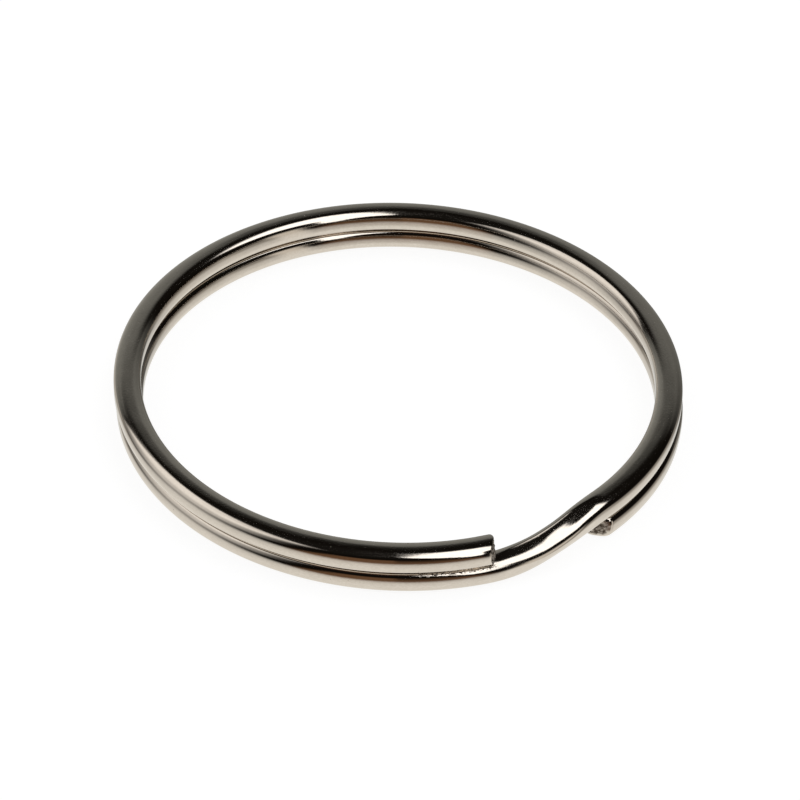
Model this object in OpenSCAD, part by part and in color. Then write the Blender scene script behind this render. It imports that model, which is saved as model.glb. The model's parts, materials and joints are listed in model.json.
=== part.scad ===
// Split ring of one rolled steel wire, wound into two flat turns that lie one on the other.
//
// The ring lies flat: z = 0 is the plane it rests on, and the Z axis runs through its eye.
// The front is -Y. Places round the ring are angles from the front, counterclockwise from above.
// From its cut end the upper turn runs clockwise once round, bends down through the crossover
// and goes on clockwise as the lower turn, which ends under the start of the crossover.
// In the crossover the wire is also twisted a little, so that its flat top leans outwards.

/* [Ring] */
// Outer diameter of the ring
outer_d = 25; // [18:0.5:40]
// Hairline gap between the two turns
turn_gap = 0.03; // [0.02:0.01:0.3]
// How far the upper turn sits to the left of the lower one
turn_offset_left = 0.08; // [0:0.01:0.2]
// How far the upper turn sits in front of the lower one
turn_offset_front = 0.05; // [0:0.01:0.2]

/* [Wire] */
// Width of the rolled wire, across the ring
wire_w = 1.2; // [0.8:0.05:2.2]
// Height of the rolled wire
wire_h = 1; // [0.7:0.05:2]
// How square the wire's section is: 2 is an oval, 8 is nearly a rectangle
section_power = 3.6; // [2:0.1:8]

/* [Crossover] */
// Place of the middle of the crossover
crossover_at = 33; // [0:1:359]
// Length of wire that takes the crossover from one turn down to the other
crossover_run = 6; // [5.2:0.05:9]
// Length of the bend where the crossover leaves the upper turn
head_bend = 1.7; // [0.4:0.1:2.4]
// Length of the bend where it reaches the lower turn
foot_bend = 2.7; // [0.4:0.1:3.2]
// Angle that the wire twists by, at the most
top_lean = 24; // [0:0.5:30]
// How square its section is there, where the bending has rounded it
crossover_power = 2.8; // [2:0.1:8]
// Distance from the crossover's head to the place of the most twist
top_lean_at = 2.9; // [1.5:0.1:4.5]
// Length of wire on each side of that place that the twist takes
top_lean_reach = 2.5; // [1.2:0.1:3.4]

/* [Cut ends] */
// How far the middle of the upper turn's cut lies past the crossover's foot
upper_end_reach = 0.53; // [-0.2:0.01:0.6]
// How far the middle of the lower turn's cut lies past the crossover's head
lower_end_reach = 0.54; // [-0.2:0.01:0.6]
// Slant of the upper turn's cut, seen from above: the wire's inner side is the longer one
upper_end_slant = 29; // [0:1:40]
// Slant of the lower turn's cut
lower_end_slant = 34; // [0:1:40]
// Lean of both cuts, seen from the side: the wire's underside is the longer one
end_lean = 8; // [0:1:20]
// Rounding of the edge round the upper turn's cut
upper_end_round = 0.07; // [0.05:0.01:0.3]
// Rounding of the edge round the lower turn's cut
lower_end_round = 0.23; // [0.05:0.01:0.3]
// Rounding of a cut end's longer corner, seen from above
end_corner = 0.35; // [0.05:0.01:0.4]

/* [Hidden] */
$fn = 180;

wire_r = (outer_d - wire_w) / 2;                // centre line of both turns, in plan
turn_pitch = wire_h + turn_gap;                 // one turn's centre line above the other's
lower_z = wire_h / 2;                           // centre line of the lower turn
upper_z = lower_z + turn_pitch;
turn_offset = [-turn_offset_left, -turn_offset_front] / 2;  // upper turn; the lower one's is its opposite
front = -90;                                    // the front, as an angle from +X

section_sides = 48;                             // corners of the wire's outline
crossover_rings = 44;
end_rings = 6;                                  // outlines in a cut end's rounded edge
seat_depth = 0.2;                               // the crossover and the cut ends start this far inside a turn
seat_inset = 0.008;                             // and this much slimmer than it, so that they fuse with it

crossover_arc = arc_angle(crossover_run);
head_at = front + crossover_at + crossover_arc / 2;   // the crossover leaves the upper turn here
foot_at = head_at - crossover_arc;                    // and joins the lower turn here
crossover_start = min(0, top_lean_at - top_lean_reach);  // the twist included
crossover_end = max(crossover_run, top_lean_at + top_lean_reach);
even_run = crossover_run - (head_bend + foot_bend) / 2;  // what the drop would take with no bends

// Length of wire before the middle of a cut that is shaped with it
end_stub =
    wire_w / 2 * tan(max(upper_end_slant, lower_end_slant)) + wire_h / 2 * tan(end_lean)
    + max(upper_end_round, lower_end_round) + 0.1;

// Angle at the ring's centre that a length of wire takes up
function arc_angle(length) = length / wire_r * 180 / PI;

// Outline of the wire: x runs outwards across the ring and y runs up
function outline(inset = 0) = [
    for (i = [0 : section_sides - 1])
        let (a = 360 * (i + 0.5) / section_sides)
        [(wire_w / 2 - inset) * rounded(cos(a)), (wire_h / 2 - inset) * rounded(sin(a))]
];
function rounded(c) = sign(c) * pow(abs(c), 2 / section_power);

// One corner of the outline, set on a turn and moved `along` it
function placed(p, at, z, offset, along = 0) =
    let (a = at + arc_angle(along))
    [(wire_r + p.x) * cos(a) + offset.x, (wire_r + p.x) * sin(a) + offset.y, z + p.y];

// Share of the drop that the crossover has made at a distance from its head
function drop(s) =
    s <= 0 ? 0
    : s < head_bend ? s * s / (2 * head_bend * even_run)
    : s < crossover_run - foot_bend ? (s - head_bend / 2) / even_run
    : s < crossover_run ? 1 - pow(crossover_run - s, 2) / (2 * foot_bend * even_run)
    : 1;

// Slope of the wire there
function slope(s) =
    let (steepness = min(1, s / head_bend, (crossover_run - s) / foot_bend))
    atan(turn_pitch / even_run * max(0, steepness));

// Share of the twist and of the rounding that the wire has there
function strain(s) = pow(max(0, 1 - pow((s - top_lean_at) / top_lean_reach, 2)), 2);

// One corner of the outline, moved in or out as the section grows rounder or squarer
function squared(p, power, inset) =
    let (u = abs(p.x) / (wire_w / 2 - inset), v = abs(p.y) / (wire_h / 2 - inset))
    p / pow(pow(u, power) + pow(v, power), 1 / power);

// Outline of the wire there, square to its path
function crossover_outline(s, inset = 0) =
    let (
        at = head_at - arc_angle(s),
        offset = (1 - 2 * drop(s)) * turn_offset,
        middle = [wire_r * cos(at) + offset.x, wire_r * sin(at) + offset.y, upper_z - drop(s) * turn_pitch],
        out = [cos(at), sin(at), 0],
        up = [sin(at) * sin(slope(s)), -cos(at) * sin(slope(s)), cos(slope(s))],
        lean = top_lean * strain(s),
        power = section_power + (crossover_power - section_power) * strain(s)
    )
    [
        for (corner = outline(inset))
            let (p = squared(corner, power, inset))
            middle + (p.x * cos(lean) + p.y * sin(lean)) * out + (p.y * cos(lean) - p.x * sin(lean)) * up
    ];

// Outline of a turn at one place, slimmer by the seat's inset
function seat_outline(at, z, offset, along) = [
    for (p = outline(seat_inset)) placed(p, at, z, offset, along)
];

// How far a cut's rounded corner lies back from the sharp one, at a distance from the wire's inner side
function corner_back(d, slant) =
    let (r = end_corner)
    d > r * (1 + sin(slant)) ? 0
    : r * (tan(slant) + 1 / cos(slant)) - d * tan(slant) - sqrt(r * r - pow(r - d, 2));

// Outline of a cut end where its rounded edge has turned by an angle: 0 on the wire's side, 90 on the cut.
// The cut's middle is at the angle `at`, dir is 1 where the wire ends counterclockwise, else -1,
// and `edge` is the rounding.
function end_outline(turned, at, z, offset, dir, slant, edge) =
    let (inset = edge * (1 - cos(turned)), back = edge * (1 - sin(turned)))
    [
        for (p = outline(inset))
            let (cut = -p.x * tan(slant) - p.y * tan(end_lean) - corner_back(p.x + wire_w / 2, slant))
            placed(p, at, z, offset, dir * (cut - back))
    ];

// Closed solid through a row of outlines, with its ends closed by strips across it
module loft(rows) {
    n = section_sides;
    last = len(rows) - 1;
    polyhedron(
        points = [for (row = rows) each row],
        faces = concat(
            [for (i = [0 : n / 2 - 2]) [i, i + 1, n - 2 - i, n - 1 - i]],
            [for (i = [0 : n / 2 - 2]) [for (j = [n - 1 - i, n - 2 - i, i + 1, i]) last * n + j]],
            [for (k = [0 : last - 1], i = [0 : n - 1])
                [k * n + i, (k + 1) * n + i, (k + 1) * n + (i + 1) % n]],
            [for (k = [0 : last - 1], i = [0 : n - 1])
                [k * n + i, (k + 1) * n + (i + 1) % n, k * n + (i + 1) % n]]
        )
    );
}

// Round stretch of a turn, counterclockwise from one angle to another
module turn(from, to, z, offset) {
    translate([offset.x, offset.y, z])
        rotate([0, 0, from])
            rotate_extrude(angle = to - from)
                translate([wire_r, 0])
                    polygon(outline());
}

module crossover() {
    step = (crossover_end - crossover_start) / crossover_rings;
    loft([
        crossover_outline(crossover_start - seat_depth, seat_inset),
        for (k = [1 : crossover_rings - 1]) crossover_outline(crossover_start + k * step),
        crossover_outline(crossover_end + seat_depth, seat_inset)
    ]);
}

module cut_end(at, z, offset, dir, slant, edge) {
    rows = [
        seat_outline(at, z, offset, -dir * (end_stub + seat_depth)),
        for (k = [0 : end_rings - 1]) end_outline(90 * k / (end_rings - 1), at, z, offset, dir, slant, edge)
    ];
    last = len(rows) - 1;
    loft(dir < 0 ? rows : [for (k = [last : -1 : 0]) rows[k]]);
}

module ring_wire() {
    upper_cut_at = foot_at + 360 + arc_angle(upper_end_reach);
    lower_cut_at = head_at - arc_angle(lower_end_reach);
    stub = arc_angle(end_stub);
    color("#c9c2b8") {
        turn(head_at - arc_angle(crossover_start), upper_cut_at - stub, upper_z, turn_offset);
        cut_end(upper_cut_at, upper_z, turn_offset, 1, upper_end_slant, upper_end_round);
        crossover();
        turn(lower_cut_at + stub, head_at + 360 - arc_angle(crossover_end), lower_z, -turn_offset);
        cut_end(lower_cut_at, lower_z, -turn_offset, -1, lower_end_slant, lower_end_round);
    }
}

ring_wire();
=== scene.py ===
"""Looks of a split ring: one polished, nickel-plated steel wire wound into two flat turns.

The wire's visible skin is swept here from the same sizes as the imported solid, with a fine section
for clean reflections, and its two cut faces are left rough. Lengths are in metres, and angles in
degrees.
"""

import json
import math

import bpy
import numpy as np
from mathutils import Matrix, Vector, noise


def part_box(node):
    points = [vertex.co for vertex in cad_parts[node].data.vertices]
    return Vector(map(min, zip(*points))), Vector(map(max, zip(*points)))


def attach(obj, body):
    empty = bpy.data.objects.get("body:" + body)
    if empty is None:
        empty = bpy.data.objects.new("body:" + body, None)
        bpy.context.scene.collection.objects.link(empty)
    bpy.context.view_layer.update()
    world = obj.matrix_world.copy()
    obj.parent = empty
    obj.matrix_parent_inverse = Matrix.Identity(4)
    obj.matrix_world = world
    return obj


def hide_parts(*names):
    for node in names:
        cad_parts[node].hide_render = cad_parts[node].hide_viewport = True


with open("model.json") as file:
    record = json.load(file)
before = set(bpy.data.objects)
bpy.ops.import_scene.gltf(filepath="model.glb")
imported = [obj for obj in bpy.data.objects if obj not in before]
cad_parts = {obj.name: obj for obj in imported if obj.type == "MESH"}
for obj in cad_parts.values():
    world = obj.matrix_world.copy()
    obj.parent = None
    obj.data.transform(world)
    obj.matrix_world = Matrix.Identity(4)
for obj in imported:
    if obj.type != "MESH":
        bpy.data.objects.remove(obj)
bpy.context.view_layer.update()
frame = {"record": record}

MM = 0.001


def mount(name):
    return next(m for m in frame["record"]["mounts"] if m["name"] == name)


# Sizes of the wire and its path, the same as the solid's
wire_low, wire_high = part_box("ring_wire")
WIRE_W = 1.2 * MM
WIRE_H = 1.0 * MM
SECTION_POWER = 3.6
TURN_R = mount("eye")["dims"]["r_mm"] * MM + WIRE_W / 2
TURN_PITCH = wire_high.z - wire_low.z - WIRE_H
LOWER_OFFSET = np.array(mount("rest")["pos_m"][:2]) - [0, TURN_R]   # the upper turn's is opposite
CROSSOVER_AT = 33                # past the front, anticlockwise from above
CROSSOVER_RUN = 6.0 * MM
HEAD_BEND = 1.7 * MM             # where the wire bends down out of the upper turn
FOOT_BEND = 2.7 * MM             # where it bends level again, in the lower turn
TOP_LEAN = 24                    # how far the wire is twisted, at most, with its top outwards
CROSSOVER_POWER = 2.8            # the section's power there
TOP_LEAN_AT = 2.9 * MM
TOP_LEAN_REACH = 2.5 * MM
UPPER_END_REACH = 0.53 * MM      # how far this cut end reaches over the crossover
LOWER_END_REACH = 0.54 * MM
UPPER_END_SLANT = 29
LOWER_END_SLANT = 34
END_LEAN = 8
UPPER_END_ROUND = 0.07 * MM
LOWER_END_ROUND = 0.23 * MM
END_CORNER = 0.35 * MM

FRONT = -90                      # the front, as an angle from +X

# The mesh
SECTION_SIDES = 80
RING_STEP = 0.13 * MM            # from one outline of the wire to the next
FACE_RINGS = 18                  # across a cut face
EDGE_RINGS = 9                   # round its edge
CUT_SPARE = 0.15 * MM            # plain wire between a cut's edge and the first even outline
TINY = 1e-9

# Nippers' marks: depth in mm, grains per mm across and up, and a shift that tells them apart
TEARS = [(0.045, 3.1, 4.7, 0), (0.03, 9.0, 13.0, 7), (0.014, 21.0, 26.0, 13)]


def arc(length):
    """Angle at the ring's centre that a length of wire takes up."""
    return math.degrees(length / TURN_R)


def wire_length(angle):
    return math.radians(angle) * TURN_R


# Places along the wire, as lengths from the middle of the upper turn's cut, clockwise from above
SCUFF_TURN = 12.5                # the scuff's middle past the front, anticlockwise from above
HEAD = wire_length(360) - CROSSOVER_RUN + UPPER_END_REACH
LOWER_CUT = HEAD + wire_length(360) + LOWER_END_REACH
START_ANGLE = FRONT + CROSSOVER_AT - arc(CROSSOVER_RUN) / 2 + arc(UPPER_END_REACH)
BACK_AT = wire_length(START_ANGLE - FRONT + 180)                   # on the upper turn
SCUFF_AT = wire_length(START_ANGLE - FRONT - SCUFF_TURN + 360)     # on the lower turn


# The wire's form

def section(sides):
    """Corners of the wire's outline, closer together where it bends: x outwards, y up."""
    n = SECTION_POWER
    diagonal, samples = 0.825, 400       # where a quarter's two halves meet, and points of each
    flat = np.linspace(0, diagonal, samples)
    bent = (1 - flat ** n) ** (1 / n)
    quarter = np.concatenate([np.stack([bent, flat], 1), np.stack([flat, bent], 1)[::-1][1:]])
    x = np.concatenate([quarter[:, 0], -quarter[::-1, 0], -quarter[:, 0], quarter[::-1, 0]])
    y = np.concatenate([quarter[:, 1], quarter[::-1, 1], -quarter[:, 1], -quarter[::-1, 1]])
    x, y = x * WIRE_W / 2, y * WIRE_H / 2
    step = np.hypot(np.diff(x), np.diff(y))
    heading = np.unwrap(np.arctan2(np.diff(y), np.diff(x)))
    turning = np.abs(np.gradient(heading))
    turning[step < TINY] = 0
    weight = step / step.sum() + turning / turning.sum()
    share = np.concatenate([[0], np.cumsum(weight)])
    wanted = (np.arange(sides) + 0.5) / sides * share[-1]
    return np.stack([np.interp(wanted, share, x), np.interp(wanted, share, y)], 1)


def drop(s):
    """Share of the drop to the lower turn that the wire has made at a distance past the head."""
    even_run = CROSSOVER_RUN - (HEAD_BEND + FOOT_BEND) / 2
    left = CROSSOVER_RUN - s
    return np.select(
        [s <= 0, s < HEAD_BEND, s < CROSSOVER_RUN - FOOT_BEND, s < CROSSOVER_RUN],
        [0, s * s / (2 * HEAD_BEND * even_run), (s - HEAD_BEND / 2) / even_run,
         1 - left * left / (2 * FOOT_BEND * even_run)], 1)


def width_share(x, y, power):
    """How far out a point of the section lies: 0 in the middle, 1 on a given power's outline."""
    return (np.abs(2 * x / WIRE_W) ** power + np.abs(2 * y / WIRE_H) ** power) ** (1 / power)


def wire_point(x, y, s):
    """Points of the wire at x across it, y up it and s along it, all arrays of one shape."""
    past = s - HEAD
    step = 0.01 * MM
    dropped = drop(past)
    slope = np.arctan2((drop(past + step) - drop(past - step)) * TURN_PITCH, 2 * step)
    strain = np.clip(1 - ((past - TOP_LEAN_AT) / TOP_LEAN_REACH) ** 2, 0, None) ** 2
    power = SECTION_POWER + (CROSSOVER_POWER - SECTION_POWER) * strain
    rounder = (width_share(x, y, SECTION_POWER) + TINY) / (width_share(x, y, power) + TINY)
    x, y = x * rounder, y * rounder
    lean = np.radians(TOP_LEAN * strain)
    across = x * np.cos(lean) + y * np.sin(lean)
    up = y * np.cos(lean) - x * np.sin(lean)
    a = np.radians(START_ANGLE) - s / TURN_R
    radius = TURN_R + across
    ahead = up * np.sin(slope)
    side = 2 * dropped - 1
    return np.stack([
        radius * np.cos(a) + ahead * np.sin(a) + LOWER_OFFSET[0] * side,
        radius * np.sin(a) - ahead * np.cos(a) + LOWER_OFFSET[1] * side,
        WIRE_H / 2 + (1 - dropped) * TURN_PITCH + up * np.cos(slope)], -1)


def corner_back(d, slant):
    """How far a cut's rounded corner lies back from a sharp one, at a distance d from the wire's
    inner side."""
    r, slant = END_CORNER, math.radians(slant)
    arch = np.sqrt(np.clip(r * r - (r - d) ** 2, 0, None))
    back = r * (math.tan(slant) + 1 / math.cos(slant)) - d * math.tan(slant) - arch
    return np.where(d > r * (1 + math.sin(slant)), 0, back)


def cut_rings(outline, at, away, slant, edge):
    """Rows of points from a cut's middle out to the wire's side: its rough face, then its rounded
    edge. The wire lies past the cut where away is 1 and before it where away is -1."""
    rows = []
    for k in range(1, FACE_RINGS):
        share = k / FACE_RINGS
        p = outline * [1 - 2 * edge / WIRE_W, 1 - 2 * edge / WIRE_H] * share
        rows.append((p, 0, 1))
    for k in range(EDGE_RINGS + 1):
        turned = math.pi / 2 * (1 - k / EDGE_RINGS)
        inset = edge * (1 - math.cos(turned))
        p = outline * [1 - 2 * inset / WIRE_W, 1 - 2 * inset / WIRE_H]
        rows.append((p, edge * (1 - math.sin(turned)), 1 - k / EDGE_RINGS))
    points = []
    for p, back, rough in rows:
        x, y = p[:, 0], p[:, 1]
        cut = -x * math.tan(math.radians(slant)) - y * math.tan(math.radians(END_LEAN))
        cut = cut - corner_back(x + WIRE_W / 2, slant) - back - rough * torn(x, y, slant)
        points.append(np.stack([at - away * cut, x, y, np.full(len(x), rough)], -1))
    return points


def torn(x, y, seed):
    """How deep the nippers left a cut face torn at each point."""
    depth = [sum(deep * (0.5 + noise.noise(Vector((px * wide, py * tall, seed + shift))))
                 for deep, wide, tall, shift in TEARS) for px, py in zip(x / MM, y / MM)]
    return np.clip(np.array(depth), 0, None) * MM


def tube_faces(rows, sides):
    """Faces that join each closed row of points to the next."""
    faces = []
    for k in range(rows - 1):
        for i in range(sides):
            j = (i + 1) % sides
            faces.append((k * sides + i, k * sides + j, (k + 1) * sides + j, (k + 1) * sides + i))
    return faces


def build_wire():
    """The whole wire as one closed mesh: cut face, upper turn, crossover, lower turn, cut face."""
    outline = section(SECTION_SIDES)
    first = cut_rings(outline, 0, 1, UPPER_END_SLANT, UPPER_END_ROUND)
    last = cut_rings(outline, LOWER_CUT, -1, LOWER_END_SLANT, LOWER_END_ROUND)[::-1]
    stub = WIRE_W / 2 * math.tan(math.radians(LOWER_END_SLANT)) + LOWER_END_ROUND + CUT_SPARE
    stations = np.linspace(stub, LOWER_CUT - stub, round((LOWER_CUT - 2 * stub) / RING_STEP) + 1)
    smooth = np.zeros(SECTION_SIDES)
    middle = [np.column_stack([np.full(SECTION_SIDES, s), outline, smooth]) for s in stations]
    rows = np.array(first + middle + last)
    count, sides = rows.shape[:2]
    straight = np.concatenate([rows.reshape(-1, 4), [rows[0].mean(0)], [rows[-1].mean(0)]])
    verts = wire_point(straight[:, 1], straight[:, 2], straight[:, 0])
    faces = tube_faces(count, sides)
    middle_first, middle_last = len(verts) - 2, len(verts) - 1
    end = (count - 1) * sides
    faces += [(middle_first, (i + 1) % sides, i) for i in range(sides)]
    faces += [(middle_last, end + i, end + (i + 1) % sides) for i in range(sides)]
    mesh = bpy.data.meshes.new("ring_wire_polished")
    mesh.from_pydata(verts.tolist(), [], faces)
    mesh.update()
    mesh.polygons.foreach_set("use_smooth", [True] * len(mesh.polygons))
    place = mesh.attributes.new("straight_wire", "FLOAT_VECTOR", "POINT")
    place.data.foreach_set("vector", (straight[:, :3] / MM).ravel())
    cut = mesh.attributes.new("cut_face", "FLOAT", "POINT")
    cut.data.foreach_set("value", straight[:, 3])
    piece = bpy.data.objects.new("ring_wire_polished", mesh)
    bpy.context.scene.collection.objects.link(piece)
    return piece


# Materials

NICKEL = (0.72, 0.66, 0.59, 1)
DULL_NICKEL = (0.66, 0.60, 0.53, 1)
PIT = (0.10, 0.085, 0.07, 1)
BARE_STEEL = (0.62, 0.56, 0.48, 1)
BARE_STEEL_DARK = (0.11, 0.085, 0.06, 1)

# Grain of the patterns, as times per millimetre along the wire, across it and up it
WAVES = (0.55, 1.1, 1.1)
LINES = (0.35, 17.0, 17.0)
CLOUD = (1.3, 3.0, 3.0)
MOTTLE = (9.0, 14.0, 14.0)
NICKS = (8.0, 14.0, 14.0)
TORN_GRIT = (7.0, 7.0, 7.0)

# Depths of the patterns
WAVES_DEEP = 0.0035 * MM
LINES_DEEP = 0.00022 * MM
MOTTLE_DEEP = 0.0008 * MM
PITS_DEEP = 0.010 * MM
TORN_GRIT_DEEP = 0.012 * MM

# Pits: cells per millimetre, the share of the cells that have one, and its radius in millimetres
LARGE_PITS = (1.7, 0.22, 0.035)
SMALL_PITS = (4.2, 0.06, 0.022)

# The scuff under the upper turn's cut end: where it fades out over the wire's edge, in
# millimetres from the wire's middle, and how far it reaches along the wire from its middle
SCUFF_UP = (0.38, 0.42)
SCUFF_OUT = (0.2, 0.3)
SCUFF_FULL = 1.3 * MM
SCUFF_END = 1.8 * MM

BACK_TILT = 0.04                 # slope of the wire's top at the back, rising outwards
BACK_FULL = wire_length(30)      # how far along the wire the tilt is full, and where it ends
BACK_END = wire_length(75)

POLISH = (0.055, 0.1)            # roughness of the plate, from clear to cloudy
PIT_ROUGH = 0.45
CUT_ROUGHER = 0.34               # added on the cut faces
CUT_METALLIC = 0.55              # there, since their grime isn't metal


def node_tree(material):
    material.use_nodes = True
    tree = material.node_tree
    tree.nodes.clear()
    return tree


def add(tree, kind, inputs=None, **settings):
    """A node with its settings, and its inputs set to values or joined to other nodes' outputs."""
    node = tree.nodes.new(kind)
    for name, value in settings.items():
        setattr(node, name, value)
    for name, value in (inputs or {}).items():
        if isinstance(value, bpy.types.NodeSocket):
            tree.links.new(value, node.inputs[name])
        else:
            node.inputs[name].default_value = value
    return node


def scaled(tree, vector, scale):
    node = add(tree, "ShaderNodeVectorMath", {0: vector, 1: scale}, operation="MULTIPLY")
    return node.outputs["Vector"]


def grain(tree, vector, scale, detail=2.0):
    """Noise from 0 to 1 over the straightened wire, its grain a given number of times per mm."""
    inputs = {"Vector": scaled(tree, vector, scale), "Scale": 1.0, "Detail": detail}
    return add(tree, "ShaderNodeTexNoise", inputs).outputs["Fac"]


def ranged(tree, value, low, high, to_low, to_high, smooth=False):
    inputs = {"Value": value, "From Min": low, "From Max": high,
              "To Min": to_low, "To Max": to_high}
    kind = "SMOOTHSTEP" if smooth else "LINEAR"
    return add(tree, "ShaderNodeMapRange", inputs, interpolation_type=kind).outputs["Result"]


def maths(tree, operation, *values):
    node = add(tree, "ShaderNodeMath", dict(enumerate(values)), operation=operation)
    return node.outputs["Value"]


def blended(tree, share, first, second):
    node = add(tree, "ShaderNodeMix", {0: share, 6: first, 7: second}, data_type="RGBA")
    return node.outputs[2]


def pits(tree, vector, per_mm, share, radius):
    """1 in the small pits that a share of the cells has, 0 on the sound skin."""
    inputs = {"Vector": scaled(tree, vector, (per_mm,) * 3), "Scale": 1.0}
    cells = add(tree, "ShaderNodeTexVoronoi", inputs)
    chance = add(tree, "ShaderNodeSeparateColor", {"Color": cells.outputs["Color"]}).outputs["Red"]
    there = ranged(tree, chance, 1 - share, 1 - share * 0.4, 0, 1)
    rim = radius * per_mm
    hollow = ranged(tree, cells.outputs["Distance"], rim * 0.4, rim, 1, 0, True)
    return maths(tree, "MULTIPLY", there, hollow)


def bump(tree, height, distance, normal=None):
    inputs = {"Height": height, "Distance": distance, "Strength": 1.0}
    if normal is not None:
        inputs["Normal"] = normal
    return add(tree, "ShaderNodeBump", inputs).outputs["Normal"]


def stretch(tree, along, middle, full, end):
    """1 on the wire within a length full of a place on it, down to 0 at a length end from it."""
    away = maths(tree, "ABSOLUTE", maths(tree, "SUBTRACT", along, middle / MM))
    return ranged(tree, away, full / MM, end / MM, 1, 0, True)


def scuffs(tree, place, at):
    """1 in the nicks where the upper turn's cut end rubs on the lower turn's outer edge."""
    high = ranged(tree, at["Z"], *SCUFF_UP, 0, 1, True)
    edge = maths(tree, "MULTIPLY", high, ranged(tree, at["Y"], *SCUFF_OUT, 0, 1, True))
    near = stretch(tree, at["X"], SCUFF_AT, SCUFF_FULL, SCUFF_END)
    nicks = ranged(tree, grain(tree, place, NICKS), 0.54, 0.6, 0, 1, True)
    return maths(tree, "MULTIPLY", maths(tree, "MULTIPLY", edge, near), nicks)


def nickel():
    """Polished nickel plate with faint drawing lines along the wire, a soft waviness, a few pits,
    and rough steel where the wire was cut."""
    material = bpy.data.materials.new("nickel_plate_polished")
    tree = node_tree(material)
    place = add(tree, "ShaderNodeAttribute", attribute_name="straight_wire").outputs["Vector"]
    cut = add(tree, "ShaderNodeAttribute", attribute_name="cut_face").outputs["Fac"]
    at = add(tree, "ShaderNodeSeparateXYZ", {"Vector": place}).outputs    # along, across and up

    waves = grain(tree, place, WAVES, 1.0)
    lines = grain(tree, place, LINES)
    cloud = grain(tree, place, CLOUD, 3.0)
    mottle = grain(tree, place, MOTTLE, 3.0)
    torn_grit = grain(tree, place, TORN_GRIT, 4.0)
    pitted = maths(tree, "MAXIMUM", pits(tree, place, *LARGE_PITS), pits(tree, place, *SMALL_PITS))
    pitted = maths(tree, "MAXIMUM", pitted, scuffs(tree, place, at))
    cut_share = ranged(tree, cut, 0.45, 0.95, 0, 1, True)

    # at the back the top is not quite level: it faces the eye of the ring a little
    back = stretch(tree, at["X"], BACK_AT, BACK_FULL, BACK_END)
    tilt = maths(tree, "MULTIPLY", at["Y"], back)

    # nickel, greyed a little where the plate is thin, and dark in the pits and on the cuts
    thin = ranged(tree, cloud, 0.35, 0.7, 0, 0.5)
    dull = maths(tree, "ADD", thin, ranged(tree, mottle, 0.35, 0.65, 0, 0.7))
    plate = blended(tree, dull, NICKEL, DULL_NICKEL)
    skin = blended(tree, ranged(tree, pitted, 0, 1, 0, 0.85), plate, PIT)
    bare = blended(tree, ranged(tree, torn_grit, 0.42, 0.6, 0, 1), BARE_STEEL_DARK, BARE_STEEL)
    colour = blended(tree, cut_share, skin, bare)

    polish = ranged(tree, cloud, 0.3, 0.75, *POLISH)
    worn = maths(tree, "MAXIMUM", polish, maths(tree, "MULTIPLY", pitted, PIT_ROUGH))
    rough = maths(tree, "ADD", worn, maths(tree, "MULTIPLY", cut_share, CUT_ROUGHER))
    metallic = ranged(tree, cut_share, 0, 1, 1.0, CUT_METALLIC)

    normal = bump(tree, tilt, BACK_TILT * MM)
    normal = bump(tree, waves, WAVES_DEEP, normal)
    normal = bump(tree, lines, LINES_DEEP, normal)
    normal = bump(tree, mottle, MOTTLE_DEEP, normal)
    normal = bump(tree, maths(tree, "MULTIPLY", pitted, -1.0), PITS_DEEP, normal)
    normal = bump(tree, maths(tree, "MULTIPLY", cut_share, torn_grit), TORN_GRIT_DEEP, normal)

    shader = add(tree, "ShaderNodeBsdfPrincipled",
                 {"Base Color": colour, "Metallic": metallic, "Roughness": rough, "Normal": normal})
    add(tree, "ShaderNodeOutputMaterial", {"Surface": shader.outputs["BSDF"]})
    return material


ring = build_wire()
ring.data.materials.append(nickel())
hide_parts("ring_wire")
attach(ring, "root")


# Studio: a pale floor and soft lamps, and a dome that only mirror rays see, with the panels and
# flags that the metal mirrors. A direction is an azimuth, from the back towards the right, and an
# elevation.

WHITE = (1, 1, 1, 1)
WORLD_FILL = 0.45

STUDIO_RADIUS = 1.0
STUDIO_STEP = 2                  # degrees

DARK = np.array([0.006, 0.005, 0.004])
DARK_OVERHEAD = 0.004            # added there
SOFTBOX = [1.75, 1.75, 1.75]
WALL_TINT = [0.99, 1.02, 0.98]
PANEL_TINT = np.array([1.0, 0.98, 0.95])
WARM = np.array([1.03, 0.97, 0.88])
BROWN = np.array([0.15, 0.08, 0.042])
MIRRORED_FLOOR = [0.93, 0.92, 0.88]

# Lower edges of the softbox and of the left panel, as corners (azimuth, elevation)
SOFTBOX_EDGE = [(0, 56), (12, 57), (30, 59), (50, 57), (75, 55), (100, 54), (125, 56), (135, 51),
                (140, 42), (143, 27), (147, 8), (153, 8), (157, 33), (163, 52), (170, 68),
                (180, 84)]
PANEL_EDGE = [(-65, -60), (-61, 2), (-58, 22), (-55, 30), (-45, 41), (-35, 46), (-25, 48),
              (-15, 49), (0, 50)]


def rise(x, start, end):
    """A soft step, from 0 at start to 1 at end."""
    t = np.clip((x - start) / (end - start), 0, 1)
    return t * t * (3 - 2 * t)


def fall(x, start, end):
    """A soft step, from 1 at start to 0 at end."""
    return rise(-x, -end, -start)


def band(x, start, full, full_end, end):
    """1 from full to full_end, and 0 before start and after end."""
    return rise(x, start, full) * fall(x, full_end, end)


def over(below, colour, cover):
    return below + (np.array(colour) - below) * cover[..., None]


def above(az, el, edge, soft):
    """1 above an edge with the given corners, 0 below it."""
    edge_el = np.interp(az, *zip(*edge))
    return rise(el, edge_el - soft, edge_el + soft)


def aside(az, el):
    """How far to the right a direction points, per unit of height. Negative is to the left."""
    return np.sin(np.radians(az)) / np.tan(np.radians(np.clip(el, 1, 89.9)))


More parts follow.
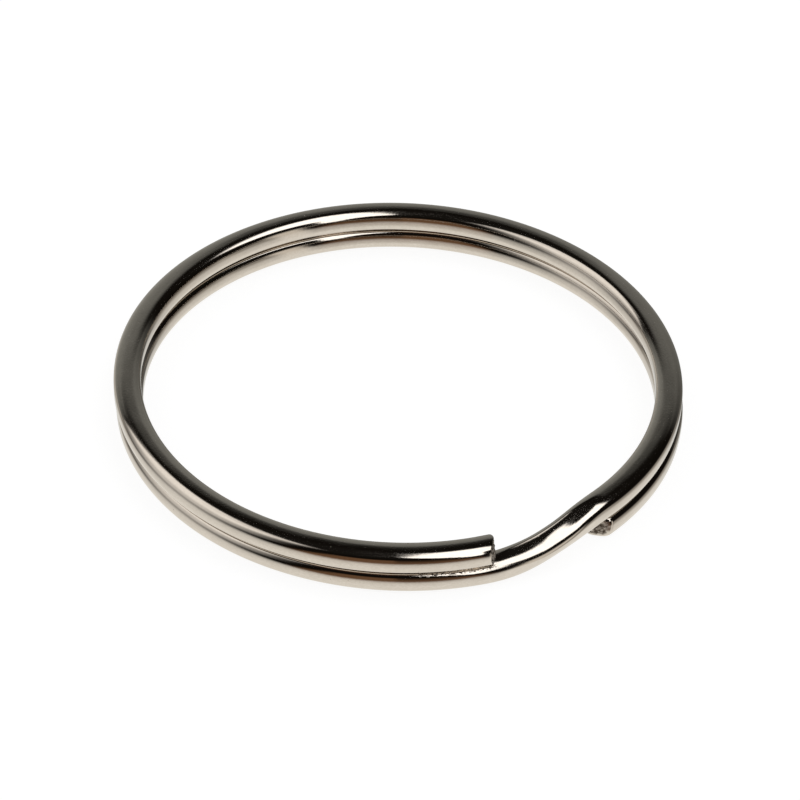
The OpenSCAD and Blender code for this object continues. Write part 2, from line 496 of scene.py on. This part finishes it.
def back_wall(az, el):
    """The grey wall at the back, fading towards its edges."""
    half_width, half_height, middle = 62, 48, -2
    height = np.abs(el)
    reach = half_width * np.sqrt(np.clip(1 - (height / half_height) ** 2, 0.05, None))
    fading = np.clip(1 - (np.abs(az - middle) / reach) ** 2.2, 0, None) ** 0.8
    fading = fading * fall(height, 37.2, 42) * np.clip(1 - az / 100, 0, None)
    return (0.33 - 0.004 * height) * fading


def low_right(az, el):
    """Light at the right near the horizon: a wide patch and a narrow, brighter one."""
    wide = 0.32 * band(az, 90, 100, 116, 124) * fall(el, -20, -5)
    return wide + 0.72 * band(az, 117, 126, 133, 140) * fall(el, -6, 16)


def left_panel(az, el):
    """What the left panel covers, from its lower edge up to the dark strip overhead."""
    sink = np.clip(-el, 0, None)
    cover = rise(az - 0.5 * sink, -146, -108) * above(az, el, PANEL_EDGE, 4) * fall(az, -12, -4)
    return cover * np.where(el > 1, rise(-aside(az, el), 0.25, 0.36), 1)


def left_panel_glow(az, el):
    """How bright the left panel is: dimmer at its foot and towards the zenith."""
    glow = 0.72 + 0.38 * rise(el, 5, 50) - 0.35 * rise(el, 52, 76) - 0.32 * fall(el, -27, 0)
    return glow * (1 - 0.7 * rise(az, -90, -60) * fall(el, -5, 40))


def low_left(az, el):
    """Light below the horizon at the back left."""
    return 0.28 * band(az, -66, -56, -35, -20) * fall(el, -8, 0)


def low_front(az, el):
    """Brown round the front, near the horizon and below it."""
    edge = 158 + 0.5 * np.clip(el, None, 0)
    strength = np.where(az < 0, 1, 0.3 + 0.5 * fall(el, -20, -5))
    return rise(np.abs(az), edge - 6, edge + 6) * fall(el, 3, 20) * strength


def low_side(az, el):
    """Light below the horizon at the right."""
    return 0.35 * band(az, 35, 55, 90, 105) * fall(el, -27, 0)


def studio_light(az, el):
    """Colour of the dome in arrays of directions, one layer after the other."""
    light = DARK + DARK_OVERHEAD * rise(el, 40, 60)[..., None]
    light = light + back_wall(az, el)[..., None] * WALL_TINT
    softbox = above(az, el, SOFTBOX_EDGE, 3) * rise(aside(az, el), 0.02, 0.065)
    light = over(light, SOFTBOX, softbox)
    light = light + low_right(az, el)[..., None] * WARM
    light = over(light, left_panel_glow(az, el)[..., None] * PANEL_TINT, left_panel(az, el))
    light = light + low_left(az, el)[..., None] * WARM
    light = light + low_front(az, el)[..., None] * BROWN
    light = light + low_side(az, el)[..., None] * WARM
    return over(light, MIRRORED_FLOOR, fall(el, -45, -26))


def add_studio():
    az, el = np.meshgrid(np.arange(-180.0, 180, STUDIO_STEP), np.arange(-90.0, 91, STUDIO_STEP))
    a, e = np.radians(az), np.radians(el)
    points = STUDIO_RADIUS * np.stack([np.sin(a) * np.cos(e), np.cos(a) * np.cos(e), np.sin(e)], -1)
    mesh = bpy.data.meshes.new("studio")
    mesh.from_pydata(points.reshape(-1, 3).tolist(), [], tube_faces(*az.shape))
    colour = mesh.attributes.new("studio_light", "FLOAT_COLOR", "POINT")
    rgba = np.concatenate([studio_light(az, el), np.ones(az.shape + (1,))], -1)
    colour.data.foreach_set("color", rgba.ravel())
    material = bpy.data.materials.new("studio")
    tree = node_tree(material)
    seen = add(tree, "ShaderNodeAttribute", attribute_name="studio_light")
    glow = add(tree, "ShaderNodeEmission", {"Color": seen.outputs["Color"]})
    add(tree, "ShaderNodeOutputMaterial", {"Surface": glow.outputs["Emission"]})
    material.cycles.emission_sampling = "NONE"
    mesh.materials.append(material)
    studio = bpy.data.objects.new("studio", mesh)
    studio.visible_camera = False
    studio.visible_diffuse = False
    studio.visible_shadow = False
    bpy.context.scene.collection.objects.link(studio)


FLOOR_HALF = 2.0
FLOOR_Z = -0.01 * MM
FLOOR_PAINT = (0.25, 0.25, 0.25, 1)
FLOOR_GLOW = 0.87


def add_floor():
    mesh = bpy.data.meshes.new("floor")
    x = y = FLOOR_HALF
    corners = [(-x, -y, FLOOR_Z), (x, -y, FLOOR_Z), (x, y, FLOOR_Z), (-x, y, FLOOR_Z)]
    mesh.from_pydata(corners, [], [(0, 1, 2, 3)])
    material = bpy.data.materials.new("floor")
    tree = node_tree(material)
    paint = add(tree, "ShaderNodeBsdfDiffuse", {"Color": FLOOR_PAINT})
    glow = add(tree, "ShaderNodeEmission", {"Color": WHITE, "Strength": FLOOR_GLOW})
    both = add(tree, "ShaderNodeAddShader", {0: paint.outputs["BSDF"], 1: glow.outputs["Emission"]})
    add(tree, "ShaderNodeOutputMaterial", {"Surface": both.outputs["Shader"]})
    material.cycles.emission_sampling = "NONE"
    mesh.materials.append(material)
    floor = bpy.data.objects.new("floor", mesh)
    floor.visible_glossy = False
    bpy.context.scene.collection.objects.link(floor)


def add_world():
    """A soft fill that the camera, mirrors and glass see as white."""
    world = bpy.data.worlds.new("studio")
    tree = node_tree(world)
    path = add(tree, "ShaderNodeLightPath").outputs
    seen = maths(tree, "MAXIMUM", path["Is Camera Ray"], path["Is Glossy Ray"])
    seen = maths(tree, "MAXIMUM", seen, path["Is Transmission Ray"])
    fill = add(tree, "ShaderNodeBackground", {"Color": WHITE, "Strength": WORLD_FILL})
    white = add(tree, "ShaderNodeBackground", {"Color": WHITE, "Strength": 1.0})
    mix = add(tree, "ShaderNodeMixShader", {0: seen, 1: fill.outputs[0], 2: white.outputs[0]})
    add(tree, "ShaderNodeOutputWorld", {"Surface": mix.outputs[0]})
    bpy.context.scene.world = world


def add_lamp(name, az, el, distance, size, power):
    """A soft area lamp that looks at the ring and isn't mirrored in it: the studio's panels are."""
    data = bpy.data.lights.new(name, "AREA")
    data.shape = "SQUARE"
    data.size = size
    data.energy = power
    lamp = bpy.data.objects.new(name, data)
    a, e = math.radians(az), math.radians(el)
    towards = Vector((math.sin(a) * math.cos(e), math.cos(a) * math.cos(e), math.sin(e)))
    aim = towards.to_track_quat("Z", "Y").to_matrix().to_4x4()
    lamp.matrix_world = Matrix.Translation(towards * distance) @ aim
    lamp.visible_glossy = False
    bpy.context.scene.collection.objects.link(lamp)


add_studio()
add_floor()
add_world()
add_lamp("softbox_right", az=75, el=60, distance=0.5, size=0.45, power=0.5)
add_lamp("panel_left", az=-80, el=40, distance=0.5, size=0.45, power=0.25)


# Camera

CAMERA_LENS = 166                # mm
CAMERA_DISTANCE = 0.1619
CAMERA_ELEVATION = 39.35
CAMERA_ROLL = 1.97
CAMERA_TARGET = Vector((0.064, -0.96, 1.015)) * MM
CAMERA_CLIP = (0.01, 10)


def add_camera():
    data = bpy.data.cameras.new("camera")
    data.lens = CAMERA_LENS
    data.clip_start, data.clip_end = CAMERA_CLIP
    camera = bpy.data.objects.new("camera", data)
    e = math.radians(CAMERA_ELEVATION)
    away = Vector((0, -math.cos(e), math.sin(e)))
    aim = away.to_track_quat("Z", "Y").to_matrix().to_4x4()
    roll = Matrix.Rotation(math.radians(CAMERA_ROLL), 4, "Z")
    camera.matrix_world = Matrix.Translation(CAMERA_TARGET + CAMERA_DISTANCE * away) @ aim @ roll
    bpy.context.scene.collection.objects.link(camera)
    bpy.context.scene.camera = camera


add_camera()
bpy.context.scene.view_settings.view_transform = "Standard"
